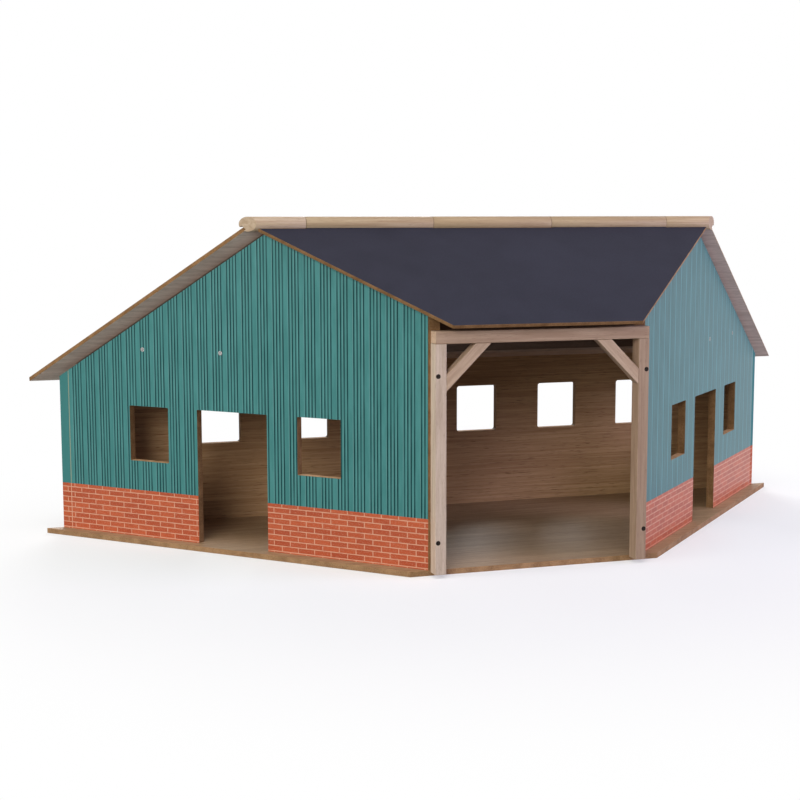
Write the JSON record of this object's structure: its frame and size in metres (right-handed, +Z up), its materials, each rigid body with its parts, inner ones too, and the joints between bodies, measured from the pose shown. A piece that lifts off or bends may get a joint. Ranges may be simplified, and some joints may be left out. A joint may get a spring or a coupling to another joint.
{
  "type": "toy tractor shed",
  "caption": "Corner-shaped wooden toy farm shed with a wide open doorway, windowed gable walls and a ridge roof whose front leaf folds up and back on a wooden knuckle hinge.",
  "frame": {"origin": "middle of the base plate's underside: on the plane of symmetry, halfway from front to back", "axes": "+X along the ridge, to the right for someone facing the doorway; +Y from the doorway to the back wall; +Z up"},
  "size_m": [1.0044, 0.3971, 0.375],
  "materials": {
    "base_board": "matt brown board",
    "printed_board": "satin printed board: corrugated sheet over brick outside, brown wood inside",
    "strip_wood": "plain sanded strip",
    "rafter_wood": "grey-brown wood",
    "roof_board": "satin anthracite above, grey-brown wood grain below",
    "ridge_wood": "plain sanded dowel",
    "bright_steel": "bright",
    "dark_steel": "blackened"
  },
  "bodies": {
    "shed": {"base_plate": "base_board", "left_gable_wall": "printed_board", "right_gable_wall": "printed_board", "back_wall": "printed_board", "left_corner_batten": "strip_wood", "right_corner_batten": "strip_wood", "left_door_post": "strip_wood", "right_door_post": "strip_wood", "door_lintel": "strip_wood", "left_knee_brace": "strip_wood", "right_knee_brace": "strip_wood", "front_tie_beam": "strip_wood", "rear_tie_beam": "strip_wood", "eave_batten": "strip_wood", "left_rafter": "rafter_wood", "right_rafter": "rafter_wood", "rear_roof_panel": "roof_board", "ridge_knuckle_1": "ridge_wood", "ridge_knuckle_3": "ridge_wood", "ridge_knuckle_5": "ridge_wood", "ridge_pins": "bright_steel", "gable_screws": "bright_steel", "base_screws": "bright_steel", "post_screws": "dark_steel"},
    "front_roof": {"front_roof_panel": "roof_board", "ridge_knuckle_2": "ridge_wood", "ridge_knuckle_4": "ridge_wood"}
  },
  "joints": [
    {"name": "front_roof_fold", "type": "hinge", "parent": "shed", "child": "front_roof", "pos_m": [0, -0.0305, 0.367], "axis": [-1, 0, 0], "range_deg": [0, 236]}
  ]
}
